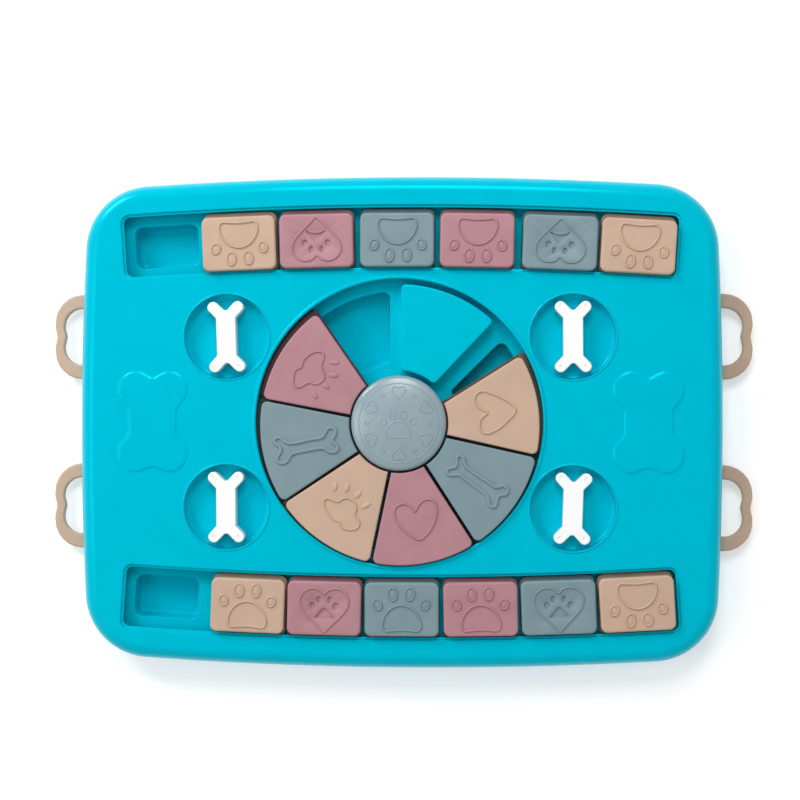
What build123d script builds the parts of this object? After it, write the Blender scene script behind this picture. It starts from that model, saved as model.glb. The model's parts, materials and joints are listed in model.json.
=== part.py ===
from build123d import *
import os
from math import sin, cos, asin, sqrt, hypot, radians, degrees

# Puzzle feeder tray for dogs: a shell with two bowed rows of sliding blocks, a ring of
# sliding wedges round a press-to-squeak hub, and four round cups closed by lift-out bones.
# Millimetres. +Z up, the table plane is Z = 0, the hub axis is the Z axis, +Y is the rear.

os.makedirs("parts", exist_ok=True)

# ---------------------------------------------------------------- driving dimensions
HX, HY = 195.2, 149.3            # half length and half width of the shell
LONG_R, SIDE_R = 2450.0, 2250.0  # bow radii of the long and short edges
CORNER_R = 40.0                  # plan radius of the corners
DECK_Z = 30.0                    # top face of the deck
DECK_T = 3.1                     # deck thickness
SKIRT_T = 2.5                    # skirt wall
SKIRT_Z = 5.0                    # bottom edge of the skirt
EDGE_R = 9.0                     # rounding of the shell's top edge

ROW_Y = 111.7                    # centreline of a row at X = 0
ROW_R = 2412.0                   # bow radius of a row
SLOT_HALF_L, SLOT_HALF_W = 168.6, 19.7   # slot mouth
LIP_IN = 1.5                     # how far the retaining lip stands inside the mouth
LIP_TOP_Z = 28.7                 # top of the retaining lip
CHAN_HALF_L, CHAN_HALF_W = 169.6, 22.3   # channel under the lip
RIB_T = 2.0                      # channel walls
LEDGE_Z = 20.0                   # floor that the sliders run on
PLATE_T = 2.0                    # thickness of that floor
POCKET_Z = 8.0                   # top of the pocket floors
POCKET_T = 2.0                   # pocket wall
CELL_PITCH, CELLS = 47.6, 7
CELL_L, CELL_W, CELL_R = 39.2, 25.5, 5.0

BLOCK_L, BLOCK_W = 44.6, 32.4    # cap of a sliding block
CAP_OFF = 0.62                   # each cap stands this much off its foot, towards the ring
BLOCK_TOP_Z = 34.6
BLOCK_FOOT_L, BLOCK_FOOT_W = 45.4, 38.0  # foot held under the lip
FOOT_Z0, FOOT_Z1 = 20.3, 26.4
NECK_Z1 = 28.9
ROW_DROP = 1.3                   # play taken up towards -Y
REAR_X = [-96.7, -49.75, -1.1, 47.0, 96.6, 143.3]
FRONT_X = [-91.1, -44.8, 2.0, 49.35, 96.0, 142.75]

WHEEL_MOUTH_R = 86.65            # opening in the deck
WHEEL_BEAD_R = 89.2              # outside of the raised bead round it
WHEEL_CHAN_R = 87.9              # channel under the lip
WHEEL_PLATE_R = 88.3
WEDGE_R0, WEDGE_R1 = 29.75, 84.75
WEDGE_HALF, WEDGE_SIDE = 22.4, 1.0       # half angle, and how far each side stands inside it
WEDGE_FOOT_R0, WEDGE_FOOT_R1, WEDGE_FOOT_SIDE = 26.6, 86.9, 0.75
WEDGE_TOP_Z = 33.5
WEDGE_DROP = 0.7                 # play taken up towards -Y
WEDGE_AT = [146.9, 191.75, 236.3, 280.5, 324.8, 369.7]
WELL_R0, WELL_R1 = 36.4, 79.9    # pockets under the wedges
WELL_SIDE = 6.0
ISLAND_R0, ISLAND_R1, ISLAND_Z = 31.0, 83.4, 30.4   # fixed wedge of the ring
ISLAND_A = 46.7
ISLAND_X = 1.4

POST_R, POST_IN_R, POST_Z = 25.2, 19.4, 26.9
COLLAR_R, COLLAR_IN_R, COLLAR_T = 28.3, 17.6, 1.6
HUB_R, HUB_RIM_Z, HUB_TOP_Z = 28.65, 32.0, 39.2
HUB_DROP = 0.5
HUB_TRAVEL = 3.0

CUP_X, CUP_Y, CUP_R, CUP_FLOOR_Z = 104.65, 51.6, 25.8, 22.6
BONE_TOP_Z, BONE_GAP = 31.6, 0.3
BONE_TURN = {"rear_left": 2.0, "rear_right": 0.4, "front_left": 0.6, "front_right": -1.9}
PANEL_X = 149.8                  # embossed bones in the deck

HANDLE_Y, HANDLE_Z0, HANDLE_T = 52.5, 5.0, 4.0
COVER_Z0 = 2.0
FOOT_R = 9.0
BASE_SCREWS = [(181, 108), (-181, 108), (181, -108), (-181, -108), (186, 0), (-186, 0), (0, 141.4), (0, -141.4)]
HANDLE_SCREWS = [(sx * 184.0, sy * (HANDLE_Y + d)) for sx in (1, -1) for sy in (1, -1) for d in (16, -16)]
ROW_SCREWS = [(130, 137.8), (-130, 137.8), (62, 82), (-62, 82)]
WHEEL_SCREWS = [(94.8, 0), (-94.8, 0), (72, 62), (-72, 62), (72, -62), (-72, -62)]
FEET = {"foot_rear_left": (-160, 115), "foot_rear_right": (160, 115), "foot_front_left": (-160, -115),
        "foot_front_right": (160, -115), "foot_rear_middle": (0, 118), "foot_front_middle": (0, -118)}


# ---------------------------------------------------------------- helpers
def prism(face, z0, z1):
    return extrude(Pos(0, 0, z0) * face, amount=z1 - z0, dir=(0, 0, 1))


def disc(x, y, r, z0, z1):
    return Pos(x, y, (z0 + z1) / 2) * Cylinder(r, z1 - z0)


def ring(r0, r1, z0, z1, x=0, y=0):
    return disc(x, y, r1, z0, z1) - disc(x, y, r0, z0 - 1, z1 + 1)


def save(part, name):
    if isinstance(part, (list, tuple, ShapeList)):
        part = Compound(children=list(part))
    export_step(part, "parts/" + name + ".step")


def corner_centre():
    # centre of a corner arc tangent to both bowed edges
    x, y = HX - CORNER_R, HY - CORNER_R
    for _ in range(60):
        y = (HY - LONG_R) + sqrt((LONG_R - CORNER_R) ** 2 - x * x)
        x = (HX - SIDE_R) + sqrt((SIDE_R - CORNER_R) ** 2 - y * y)
    return x, y


CORNER = corner_centre()


def outline(off=0.0):
    """The shell's bowed plan outline, moved outwards by off."""
    cx, cy = CORNER
    lx, ly = 0.0, HY - LONG_R
    sx, sy = HX - SIDE_R, 0.0
    dl = hypot(cx - lx, cy - ly)
    t1 = (lx + (cx - lx) / dl * (LONG_R + off), ly + (cy - ly) / dl * (LONG_R + off))
    ds = hypot(cx - sx, cy - sy)
    t2 = (sx + (cx - sx) / ds * (SIDE_R + off), sy + (cy - sy) / ds * (SIDE_R + off))
    mx, my = (t1[0] + t2[0]) / 2 - cx, (t1[1] + t2[1]) / 2 - cy
    m = hypot(mx, my)
    mid = (cx + mx / m * (CORNER_R + off), cy + my / m * (CORNER_R + off))

    def q(p, a, b):
        return (p[0] * a, p[1] * b)

    edges = [
        ThreePointArc(q(t1, -1, 1), (0, HY + off), t1),
        ThreePointArc(t1, mid, t2),
        ThreePointArc(t2, (HX + off, 0), q(t2, 1, -1)),
        ThreePointArc(q(t2, 1, -1), q(mid, 1, -1), q(t1, 1, -1)),
        ThreePointArc(q(t1, 1, -1), (0, -HY - off), q(t1, -1, -1)),
        ThreePointArc(q(t1, -1, -1), q(mid, -1, -1), q(t2, -1, -1)),
        ThreePointArc(q(t2, -1, -1), (-HX - off, 0), q(t2, -1, 1)),
        ThreePointArc(q(t2, -1, 1), q(mid, -1, 1), q(t1, -1, 1)),
    ]
    return make_face(edges)


def row_band(half_l, half_w, r):
    """A bowed band along the rear row."""
    cy = ROW_Y - ROW_R
    ro, ri = ROW_R + half_w, ROW_R - half_w
    s, c = sin(half_l / ROW_R), cos(half_l / ROW_R)
    a, b = (ro * s, cy + ro * c), (ri * s, cy + ri * c)
    f = make_face([
        ThreePointArc((-a[0], a[1]), (0, cy + ro), a), Line(a, b),
        ThreePointArc(b, (0, cy + ri), (-b[0], b[1])), Line((-b[0], b[1]), (-a[0], a[1])),
    ])
    return fillet(f.vertices(), r) if r else f


def row_place(x):
    """Height in Y and turn of something that sits on the rear row's centreline at x."""
    return ROW_Y - ROW_R + sqrt(ROW_R ** 2 - x * x), -degrees(asin(x / ROW_R))


def wedge(r0, r1, lo, hi, lo_in, hi_in, rad_out=0.0, rad_in=0.0):
    """A ring sector between the angles lo and hi, each side moved inwards by its own amount."""
    def at(r, deg, off, sign):
        t = radians(deg) + sign * asin(off / r)
        return (r * cos(t), r * sin(t))
    p = [at(r0, lo, lo_in, 1), at(r1, lo, lo_in, 1), at(r1, hi, hi_in, -1), at(r0, hi, hi_in, -1)]
    mid = radians((lo + hi) / 2)
    f = make_face([
        Line(p[0], p[1]), ThreePointArc(p[1], (r1 * cos(mid), r1 * sin(mid)), p[2]),
        Line(p[2], p[3]), ThreePointArc(p[3], (r0 * cos(mid), r0 * sin(mid)), p[0]),
    ])
    far = (r0 + r1) / 2
    if rad_out:
        f = fillet([v for v in f.vertices() if hypot(v.X, v.Y) > far], rad_out)
    if rad_in:
        f = fillet([v for v in f.vertices() if hypot(v.X, v.Y) < far and
                    min(hypot(v.X - q[0], v.Y - q[1]) for q in (p[0], p[3])) < 0.01], rad_in)
    return f


def bone_face(half_w, lobe_x, lobe_y, lobe_r):
    """A bone lying along Y: a straight shaft with two splayed lobes at each end."""
    f = Rectangle(2 * half_w, 2 * (lobe_y - lobe_x * 0.9))
    arm = hypot(lobe_x, lobe_x)
    for sx in (1, -1):
        for sy in (1, -1):
            f += Pos(sx * lobe_x, sy * lobe_y) * Circle(lobe_r)
            f += Pos(sx * lobe_x / 2, sy * (lobe_y - lobe_x / 2)) * Rot(0, 0, 45 * sx * sy) * Rectangle(arm, 2 * lobe_r)
            f += Pos(0, sy * (lobe_y - lobe_x)) * Circle(lobe_r)
    return f


# ---------------------------------------------------------------- top shell
shell = prism(outline(), SKIRT_Z, DECK_Z)
shell = fillet(shell.faces().sort_by(Axis.Z)[-1].edges(), EDGE_R)
inner = prism(outline(-SKIRT_T), SKIRT_Z - 1, DECK_Z - DECK_T)
inner = fillet(inner.faces().sort_by(Axis.Z)[-1].edges(), EDGE_R - SKIRT_T)
shell -= inner

deck_under = DECK_Z - DECK_T
ribs = disc(0, 0, WHEEL_CHAN_R + RIB_T, LEDGE_Z, deck_under + 0.5)
rear_rib = prism(row_band(CHAN_HALF_L + RIB_T, CHAN_HALF_W + RIB_T, 5.0), LEDGE_Z, deck_under + 0.5)
rear_chan = prism(row_band(CHAN_HALF_L, CHAN_HALF_W, 4.0), LEDGE_Z - 1, deck_under)
ribs += rear_rib + mirror(rear_rib, about=Plane.XZ)
shell += ribs
for sx in (1, -1):
    for sy in (1, -1):
        shell += disc(sx * CUP_X, sy * CUP_Y, CUP_R + 2.0, CUP_FLOOR_Z - 2.0, deck_under + 0.5)
        shell += disc(sx * CUP_X, sy * CUP_Y, 6.5, CUP_FLOOR_Z - 5.2, CUP_FLOOR_Z - 1.0)
        shell += ring(CUP_R - 0.5, CUP_R + 1.8, DECK_Z - 0.5, DECK_Z + 0.4, sx * CUP_X, sy * CUP_Y)
shell += ring(WHEEL_MOUTH_R - 1, WHEEL_BEAD_R, DECK_Z - 0.5, DECK_Z + 0.6)
for x, y in BASE_SCREWS:
    shell += disc(x, y, 4.0, SKIRT_Z, deck_under + 0.5)
for x, y in HANDLE_SCREWS:
    shell += disc(x, y, 4.0, HANDLE_Z0 + HANDLE_T, deck_under + 0.5)
for x, y in [(x, s * y) for x, y in ROW_SCREWS for s in (1, -1)] + WHEEL_SCREWS:
    shell += disc(x, y, 4.0, LEDGE_Z, deck_under + 0.5)
panel = prism(bone_face(14.7, 12.2, 21.4, 9.4), DECK_Z - 0.5, DECK_Z + 0.6)
shell += Pos(PANEL_X, 0, 0) * panel + Pos(-PANEL_X, 0, 0) * panel

shell -= disc(0, 0, WHEEL_CHAN_R, LEDGE_Z - 1, deck_under)
shell -= disc(0, 0, WHEEL_MOUTH_R, LEDGE_Z, DECK_Z + 5)
lip = prism(row_band(SLOT_HALF_L - LIP_IN, SLOT_HALF_W - LIP_IN, 4.5), LEDGE_Z, DECK_Z + 5)
mouth = prism(row_band(SLOT_HALF_L, SLOT_HALF_W, 5.5), LIP_TOP_Z, DECK_Z + 5)
slot_cut = rear_chan + lip + mouth
shell -= slot_cut
shell -= mirror(slot_cut, about=Plane.XZ)
for sx in (1, -1):
    for sy in (1, -1):
        shell -= disc(sx * CUP_X, sy * CUP_Y, CUP_R, CUP_FLOOR_Z, DECK_Z + 5)
        shell -= disc(sx * CUP_X, sy * CUP_Y, 4.3, CUP_FLOOR_Z - 3.7, CUP_FLOOR_Z + 1)
        # the handle leaves the shell through a notch in the skirt
        shell -= Pos(sx * HX, sy * HANDLE_Y, SKIRT_Z + HANDLE_T / 2) * Box(14, 53.4, HANDLE_T)
for x, y in BASE_SCREWS + HANDLE_SCREWS:
    shell -= disc(x, y, 1.5, SKIRT_Z - 1, 17.0)
for x, y in [(x, s * y) for x, y in ROW_SCREWS for s in (1, -1)] + WHEEL_SCREWS:
    shell -= disc(x, y, 1.3, LEDGE_Z - 1, 26.0)
save(shell, "tray_top")


# ---------------------------------------------------------------- pocket trays of the two rows
plate = row_band(CHAN_HALF_L + RIB_T, CHAN_HALF_W + RIB_T - 1.6, 5.0)
rear_tray = prism(plate, LEDGE_Z - PLATE_T, LEDGE_Z)
for x, y in ROW_SCREWS:
    d = -1 if y > ROW_Y else 1
    rear_tray += disc(x, y, 5.2, LEDGE_Z - PLATE_T, LEDGE_Z)
    rear_tray += Pos(x, y + d * 4.0, LEDGE_Z - PLATE_T / 2) * Box(10.4, 8.0, PLATE_T)
cells = [(i - (CELLS - 1) / 2) * CELL_PITCH for i in range(CELLS)]
for x in cells:
    y, turn = row_place(x)
    at = Pos(x, y, 0) * Rot(0, 0, turn)
    rear_tray += at * prism(RectangleRounded(CELL_L + 2 * POCKET_T, CELL_W + 2 * POCKET_T, CELL_R + POCKET_T), POCKET_Z - POCKET_T, LEDGE_Z - PLATE_T / 2)
for x in cells:
    y, turn = row_place(x)
    at = Pos(x, y, 0) * Rot(0, 0, turn)
    cut = prism(RectangleRounded(CELL_L, CELL_W, CELL_R), POCKET_Z, LEDGE_Z + 1)
    cut = fillet(cut.faces().sort_by(Axis.Z)[0].edges(), 2.0)
    rear_tray -= at * cut
for x, y in ROW_SCREWS:
    rear_tray -= disc(x, y, 1.7, 10, LEDGE_Z + 1)
save(rear_tray, "row_tray_rear")
save(mirror(rear_tray, about=Plane.XZ), "row_tray_front")


# ---------------------------------------------------------------- pocket tray of the ring, with the fixed wedge and the hub post
wheel = disc(0, 0, WHEEL_PLATE_R, LEDGE_Z - PLATE_T, LEDGE_Z)
for x, y in WHEEL_SCREWS:
    a = degrees(asin(y / hypot(x, y))) if x > 0 else 180 - degrees(asin(y / hypot(x, y)))
    wheel += disc(x, y, 5.2, LEDGE_Z - PLATE_T, LEDGE_Z)
    wheel += Rot(0, 0, a) * Pos(hypot(x, y) - 4.5, 0, LEDGE_Z - PLATE_T / 2) * Box(9.0, 10.4, PLATE_T)
wells = []
for k in range(8):
    if k == 1:
        continue
    lo, hi = 45.0 * k, 45.0 * (k + 1)
    lo_in, hi_in = WELL_SIDE, WELL_SIDE
    if k == 0:
        hi_in = 8.7
    wells.append((lo, hi, lo_in, hi_in))
for lo, hi, lo_in, hi_in in wells:
    wheel += prism(wedge(WELL_R0 - POCKET_T, WELL_R1 + POCKET_T, lo, hi, lo_in - POCKET_T, hi_in - POCKET_T, 5.0, 3.0), POCKET_Z - POCKET_T, LEDGE_Z - PLATE_T / 2)
island = wedge(ISLAND_R0, ISLAND_R1, ISLAND_A, 90.0, 0.01, ISLAND_X, 2.5, 2.5)
wheel += prism(island, LEDGE_Z - PLATE_T, ISLAND_Z)
wheel -= prism(wedge(ISLAND_R0 + 2, ISLAND_R1 - 2, ISLAND_A, 90.0, 2.0, ISLAND_X + 2.0, 1.5, 1.5), LEDGE_Z - PLATE_T - 1, ISLAND_Z - 2.0)
wheel += disc(0, 0, POST_R, POCKET_Z - POCKET_T, POST_Z)
for lo, hi, lo_in, hi_in in wells:
    cut = prism(wedge(WELL_R0, WELL_R1, lo, hi, lo_in, hi_in, 4.0, 2.5), POCKET_Z, LEDGE_Z + 1)
    wheel -= cut
wheel -= disc(0, 0, POST_IN_R, POCKET_Z, POST_Z + 1)
wheel -= disc(0, 0, 2.0, 0, POCKET_Z + 1)
COLLAR_SCREWS = [(22.3 * cos(radians(a)), 22.3 * sin(radians(a))) for a in (30, 150, 270)]
for x, y in COLLAR_SCREWS:
    wheel -= disc(x, y, 1.05, 14.0, POST_Z + 1)
for x, y in WHEEL_SCREWS:
    wheel -= disc(x, y, 1.7, 10, LEDGE_Z + 1)
save(wheel, "wheel_tray")


# ---------------------------------------------------------------- hub: collar, press cap, squeaker
collar = ring(COLLAR_IN_R, COLLAR_R, POST_Z, POST_Z + COLLAR_T)
for x, y in COLLAR_SCREWS:
    collar -= disc(x, y, 1.2, POST_Z - 1, POST_Z + 3)
    collar -= disc(x, y, 2.4, POST_Z + COLLAR_T - 0.9, POST_Z + 3)
save(collar, "hub_collar")

# dome, skirt, hooked stem and the plunger that squashes the bellows, in one section
cap = make_face([
    Line((0, HUB_TOP_Z), (0, 37.0)), Line((0, 37.0), (6.6, 37.0)), Line((6.6, 37.0), (6.6, 27.6)), Line((6.6, 27.6), (9.0, 27.6)),
    Line((9.0, 27.6), (9.0, 36.6)), Line((9.0, 36.6), (14.8, 36.0)), Line((14.8, 36.0), (14.8, 24.2)), Line((14.8, 24.2), (18.5, 24.2)),
    Line((18.5, 24.2), (18.5, 26.5)), Line((18.5, 26.5), (16.8, 26.5)), Line((16.8, 26.5), (16.8, 35.6)), Line((16.8, 35.6), (26.2, 33.4)),
    Line((26.2, 33.4), (26.65, 32.8)), Line((26.65, 32.8), (26.65, HUB_RIM_Z)), Line((26.65, HUB_RIM_Z), (HUB_R, HUB_RIM_Z)),
    Line((HUB_R, HUB_RIM_Z), (HUB_R, 32.8)), ThreePointArc((HUB_R, 32.8), (HUB_R - 0.85, 34.6), (HUB_R - 2.9, 35.5)),
    ThreePointArc((HUB_R - 2.9, 35.5), (13.0, 38.3), (1.0, HUB_TOP_Z)), Line((1.0, HUB_TOP_Z), (0, HUB_TOP_Z)),
])
cap = Pos(0, -HUB_DROP, 0) * revolve(Plane.XZ * cap, Axis.Z)
save(cap, "hub_button")

# rubber bellows: closed at the top, open at the foot round the reed
outer = [(5.1, 8.0), (12.6, 8.0), (12.6, 10.2), (13.6, 11.8), (13.6, 13.2), (11.2, 15.0), (13.6, 16.8), (13.6, 18.2),
         (11.2, 20.0), (13.6, 21.8), (13.6, 23.2), (11.6, 25.4), (9.0, 27.5), (0, 27.5), (0, 26.0), (8.0, 26.0),
         (10.0, 24.4), (12.1, 22.8), (12.1, 22.2), (9.6, 20.0), (12.1, 17.8), (12.1, 17.2), (9.6, 15.0), (12.1, 12.8),
         (12.1, 12.2), (10.8, 10.0), (5.1, 10.0)]
bellows = revolve(Plane.XZ * make_face(Polyline(*outer, close=True)), Axis.Z)
save(bellows, "squeaker_bellows")
reed = ring(1.4, 5.0, 8.0, 10.0) + ring(1.4, 3.2, 10.0, 16.0)
save(reed, "squeaker_reed")


# ---------------------------------------------------------------- the twelve sliding blocks
def block(off):
    foot = prism(RectangleRounded(BLOCK_FOOT_L, BLOCK_FOOT_W, 5.0), FOOT_Z0, FOOT_Z1)
    foot = fillet(foot.faces().sort_by(Axis.Z)[-1].edges(), 0.6)
    neck = prism(Pos(0, off) * RectangleRounded(BLOCK_L - 1.8, BLOCK_W - 1.8, 3.2), FOOT_Z1 - 1, NECK_Z1 + 1)
    cap = prism(Pos(0, off) * RectangleRounded(BLOCK_L, BLOCK_W, 4.0), NECK_Z1, BLOCK_TOP_Z)
    cap = fillet(cap.faces().sort_by(Axis.Z)[-1].edges(), 1.2)
    b = foot + neck + cap
    b -= prism(RectangleRounded(BLOCK_FOOT_L - 4, BLOCK_FOOT_W - 4, 3.0), FOOT_Z0 - 1, FOOT_Z1 - 2)
    b -= prism(Pos(0, off) * RectangleRounded(BLOCK_L - 5.8, BLOCK_W - 5.8, 2.0), FOOT_Z1 - 3, BLOCK_TOP_Z - 2.2)
    return b


proto = block(-CAP_OFF)
for i, x in enumerate(REAR_X):
    y, turn = row_place(x)
    save(Pos(x, y - ROW_DROP, 0) * Rot(0, 0, turn) * proto, "block_rear_%d" % (i + 1))
proto = block(CAP_OFF)
for i, x in enumerate(FRONT_X):
    y, turn = row_place(x)
    save(Pos(x, -y - ROW_DROP, 0) * Rot(0, 0, -turn) * proto, "block_front_%d" % (i + 1))


# ---------------------------------------------------------------- the six sliding wedges
def slider():
    h = WEDGE_HALF
    foot = prism(wedge(WEDGE_FOOT_R0, WEDGE_FOOT_R1, -h, h, WEDGE_FOOT_SIDE, WEDGE_FOOT_SIDE, 3.0, 1.0), FOOT_Z0, FOOT_Z1)
    neck = prism(wedge(WEDGE_R0 + 0.8, WEDGE_R1 - 0.9, -h, h, WEDGE_SIDE + 0.8, WEDGE_SIDE + 0.8, 2.2, 1.0), FOOT_Z1 - 1, NECK_Z1 + 1)
    cap = prism(wedge(WEDGE_R0, WEDGE_R1, -h, h, WEDGE_SIDE, WEDGE_SIDE, 3.0, 1.5), NECK_Z1, WEDGE_TOP_Z)
    cap = fillet(cap.faces().sort_by(Axis.Z)[-1].edges(), 0.9)
    s = foot + neck + cap
    s -= prism(wedge(WEDGE_FOOT_R0 + 5.5, WEDGE_FOOT_R1 - 4.2, -h, h, WEDGE_SIDE + 2.8, WEDGE_SIDE + 2.8, 1.5, 1.0), FOOT_Z0 - 1, WEDGE_TOP_Z - 2.2)
    return s


proto = slider()
for i, a in enumerate(WEDGE_AT):
    save(Pos(0, -WEDGE_DROP, 0) * Rot(0, 0, a) * proto, "wedge_%d" % (i + 1))


# ---------------------------------------------------------------- the four lift-out bones
def bone():
    b = prism(bone_face(5.95, 7.35, 18.95, 3.25), CUP_FLOOR_Z + BONE_GAP, BONE_TOP_Z)
    try:
        b = fillet(b.faces().sort_by(Axis.Z)[-1].edges(), 0.7)
    except Exception:
        pass
    return b + disc(0, 0, 4.0, CUP_FLOOR_Z - 3.4, CUP_FLOOR_Z + 1)


proto = bone()
for name, turn in BONE_TURN.items():
    sx = 1 if "right" in name else -1
    sy = 1 if "rear" in name else -1
    save(Pos(sx * CUP_X, sy * CUP_Y, 0) * Rot(0, 0, turn) * proto, "bone_" + name)


# ---------------------------------------------------------------- the four handle loops
def handle():
    """The loop at the right end, about its own centre line."""
    body = Pos(195.7, 0) * Rectangle(39.8, 53.0)
    body = fillet([v for v in body.vertices() if v.X > 200], 15.5)
    body = fillet([v for v in body.vertices() if v.X < 180], 3.0)
    gap = Pos(201.7, 0) * Rectangle(15.8, 35.2)
    gap = fillet([v for v in gap.vertices() if v.X > 205], 9.8)
    gap = fillet([v for v in gap.vertices() if v.X < 200], 2.0)
    h = prism(body, HANDLE_Z0, HANDLE_Z0 + HANDLE_T)
    h -= prism(gap, HANDLE_Z0 - 1, HANDLE_Z0 + HANDLE_T + 1)
    # bone-end waist in the middle of the band
    h += disc(211.8, 0, 3.0, HANDLE_Z0, HANDLE_Z0 + HANDLE_T)
    h -= disc(227.1, 0, 12.0, HANDLE_Z0 - 1, HANDLE_Z0 + HANDLE_T + 1)
    for y in (16, -16):
        h -= disc(184.0, y, 1.7, 0, 20)
    return h


proto = handle()
for sx, sn in ((1, "right"), (-1, "left")):
    for sy, fn in ((1, "rear"), (-1, "front")):
        h = proto if sx > 0 else mirror(proto, about=Plane.YZ)
        save(Pos(0, sy * HANDLE_Y, 0) * h, "handle_%s_%s" % (fn, sn))


# ---------------------------------------------------------------- base cover, feet, fasteners
cover = prism(outline(-0.5), COVER_Z0, SKIRT_Z)
rim = prism(outline(-SKIRT_T - 0.3), SKIRT_Z - 0.5, SKIRT_Z + 3) - prism(outline(-SKIRT_T - 1.8), SKIRT_Z - 1, SKIRT_Z + 4)
for sx in (1, -1):
    for sy in (1, -1):
        rim -= Pos(sx * 186, sy * HANDLE_Y, SKIRT_Z + 2) * Box(24, 56, 4)
for x, y in BASE_SCREWS:
    rim -= disc(x, y, 4.4, SKIRT_Z, SKIRT_Z + 4)
cover += rim
for x, y in BASE_SCREWS + HANDLE_SCREWS:
    cover -= disc(x, y, 1.7, 0, SKIRT_Z + 2)
    cover -= disc(x, y, 3.3, 0, COVER_Z0 + 1.6)
for x, y in FEET.values():
    cover -= disc(x, y, FOOT_R + 0.05, 0, COVER_Z0 + 1.0)
cover -= disc(0, 0, 4.0, 0, SKIRT_Z + 1)      # lets the squeaker breathe
save(cover, "base_cover")

for name, (x, y) in FEET.items():
    f = disc(x, y, FOOT_R, 0, COVER_Z0 + 1.0)
    f = fillet(f.faces().sort_by(Axis.Z)[0].edges(), 0.8)
    save(f, name)


def screw(x, y, z_seat, length, r, head_r, head_h, up):
    """A cross-recessed screw: its head sits on z_seat and its shank goes up or down from there."""
    s = 1 if up else -1
    z1, z2 = z_seat, z_seat + s * length
    zh = z_seat - s * head_h
    b = disc(x, y, r, min(z1, z2), max(z1, z2)) + disc(x, y, head_r, min(z1, zh), max(z1, zh))
    zc = zh + s * head_h * 0.3
    for dx, dy in ((head_r * 1.2, 0.5), (0.5, head_r * 1.2)):
        b -= Pos(x, y, zc) * Box(dx, dy, head_h * 0.61)
    return b


save([screw(x, y, COVER_Z0 + 1.6, 12, 1.45, 2.9, 1.4, True) for x, y in BASE_SCREWS], "base_screws")
save([screw(x, y, COVER_Z0 + 1.6, 13, 1.45, 2.9, 1.4, True) for x, y in HANDLE_SCREWS], "handle_screws")
save([screw(x, y, LEDGE_Z - PLATE_T, 7.5, 1.25, 2.6, 1.5, True)
      for x, y in [(x, s * y) for x, y in ROW_SCREWS for s in (1, -1)] + WHEEL_SCREWS], "pocket_tray_screws")
save([screw(x, y, POST_Z + COLLAR_T - 0.9, 9.0, 1.0, 2.2, 0.85, False) for x, y in COLLAR_SCREWS], "collar_screws")
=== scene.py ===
import json
from math import acos, asin, atan2, cos, hypot, pi, radians, sin, sqrt, tan

import bmesh
import bpy
import numpy as np
from mathutils import Matrix, Vector
from mathutils.geometry import delaunay_2d_cdt

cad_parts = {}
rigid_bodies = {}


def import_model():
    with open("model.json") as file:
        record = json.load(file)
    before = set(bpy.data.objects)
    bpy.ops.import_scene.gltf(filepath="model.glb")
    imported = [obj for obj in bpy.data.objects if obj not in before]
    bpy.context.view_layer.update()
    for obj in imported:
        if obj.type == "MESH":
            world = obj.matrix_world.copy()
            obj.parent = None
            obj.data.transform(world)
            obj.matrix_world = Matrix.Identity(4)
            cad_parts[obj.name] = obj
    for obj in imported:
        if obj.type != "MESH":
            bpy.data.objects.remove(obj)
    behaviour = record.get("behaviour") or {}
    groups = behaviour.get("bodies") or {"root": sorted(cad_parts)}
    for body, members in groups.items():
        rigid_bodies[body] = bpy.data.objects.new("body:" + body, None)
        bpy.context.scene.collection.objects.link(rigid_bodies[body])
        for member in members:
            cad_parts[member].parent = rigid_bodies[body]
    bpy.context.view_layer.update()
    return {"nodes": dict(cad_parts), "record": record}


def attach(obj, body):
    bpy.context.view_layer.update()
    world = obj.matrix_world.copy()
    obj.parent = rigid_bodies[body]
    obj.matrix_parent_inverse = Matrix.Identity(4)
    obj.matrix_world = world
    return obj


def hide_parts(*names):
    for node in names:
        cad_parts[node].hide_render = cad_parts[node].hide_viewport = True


for o in list(bpy.data.objects):
    bpy.data.objects.remove(o, do_unlink=True)

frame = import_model()
MM = 0.001

# ---------------------------------------------------------------- sizes shared with the part (mm)
HX, HY, LONG_R, SIDE_R, CORNER_R = 195.2, 149.25, 2450.0, 2250.0, 40.0
DECK, UNDER = 30.0, 26.9
ROW_Y, ROW_R = 111.7, 2412.0
SLOT_L, SLOT_W = 168.6, 19.7
WHEEL_R = 86.65
CUP_X, CUP_Y, CUP_R = 104.65, 51.6, 25.8
REAR_X = [-96.7, -49.75, -1.1, 47.0, 96.6, 143.3]
FRONT_X = [-91.1, -44.8, 2.0, 49.35, 96.0, 142.75]
WEDGE_AT = [147.0, 191.4, 235.85, 280.55, 325.2, 369.8]


# ---------------------------------------------------------------- plan outlines, counter-clockwise, in mm
def arc(cx, cy, r, a0, a1, n):
    return [(cx + r * cos(a0 + (a1 - a0) * i / n), cy + r * sin(a0 + (a1 - a0) * i / n)) for i in range(n)]


def _corner():
    x, y = HX - CORNER_R, HY - CORNER_R
    for _ in range(60):
        y = (HY - LONG_R) + sqrt((LONG_R - CORNER_R) ** 2 - x * x)
        x = (HX - SIDE_R) + sqrt((SIDE_R - CORNER_R) ** 2 - y * y)
    return x, y


CORNER = _corner()


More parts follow.
